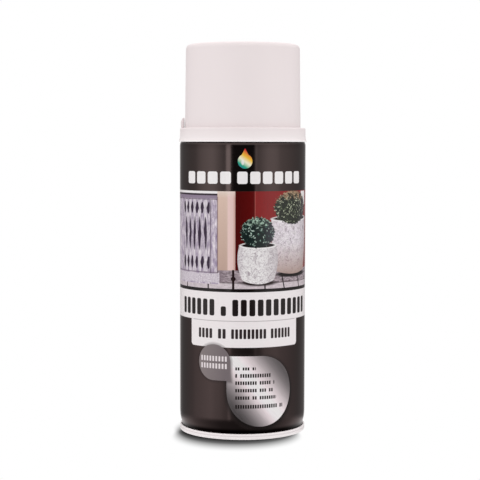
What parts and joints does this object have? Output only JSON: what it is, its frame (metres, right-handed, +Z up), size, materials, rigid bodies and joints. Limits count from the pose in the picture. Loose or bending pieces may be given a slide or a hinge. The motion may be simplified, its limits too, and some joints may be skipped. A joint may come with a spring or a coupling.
{
  "type": "aerosol spray paint can",
  "caption": "Necked-in aerosol spray paint can with a domed base, crimped valve, spray button on a sprung stem and a stepped push-on overcap.",
  "frame": {"origin": "centre of the can's foot ring, on the surface that it stands on", "axes": "+Z up the can's axis, -Y the way the nozzle points and the printed front faces, -X towards the overcap's lever lug"},
  "size_m": [0.066, 0.066, 0.199],
  "materials": {
    "printed_tinplate": "glossy printed lacquer, dark brown with a picture panel",
    "tinplate_end": "pale lacquered tinplate",
    "tinplate_dome": "bright tinplate",
    "seam_compound": "matt",
    "cup_tinplate": "bright tinplate",
    "gasket_rubber": "matt",
    "stem_plastic": "natural white",
    "spring_steel": "drawn stainless wire",
    "housing_plastic": "natural",
    "dip_tube_plastic": "translucent natural",
    "button_plastic": "satin white",
    "insert_plastic": "satin dark grey",
    "ball_steel": "polished",
    "cap_plastic": "satin white, fine moulded grain"
  },
  "bodies": {
    "can": {"can_body": "printed_tinplate", "base_end": "tinplate_end", "top_dome": "tinplate_dome", "base_seam_compound": "seam_compound", "top_seam_compound": "seam_compound", "valve_cup": "cup_tinplate", "cup_gasket": "gasket_rubber", "stem_gasket": "gasket_rubber", "valve_housing": "housing_plastic", "valve_spring": "spring_steel", "dip_tube": "dip_tube_plastic"},
    "stem": {"valve_stem": "stem_plastic"},
    "button": {"spray_button": "button_plastic", "nozzle_insert": "insert_plastic"},
    "overcap": {"overcap": "cap_plastic"},
    "ball_1": {"mixing_ball_1": "ball_steel"},
    "ball_2": {"mixing_ball_2": "ball_steel"}
  },
  "joints": [
    {"name": "stem_press", "type": "slide", "parent": "can", "child": "stem", "axis": [0, 0, -1], "range_m": [0, 0.0014], "stiffness_N_per_m": 5000, "springref_m": -0.002, "deforming": ["valve_spring"]},
    {"name": "button_swivel", "type": "hinge", "parent": "stem", "child": "button", "pos_m": [0, 0, 0.172], "axis": [0, 0, 1], "continuous": true},
    {"name": "overcap_lift_off", "type": "slide", "parent": "can", "child": "overcap", "axis": [0, 0, 1], "range_m": [0, 0.06]},
    {"name": "mixing_ball_1_rattle", "type": "slide", "parent": "can", "child": "ball_1", "axis": [0, 0, 1], "range_m": [0, 0.125]},
    {"name": "mixing_ball_2_rattle", "type": "slide", "parent": "can", "child": "ball_2", "axis": [0, 0, 1], "range_m": [0, 0.125]}
  ]
}
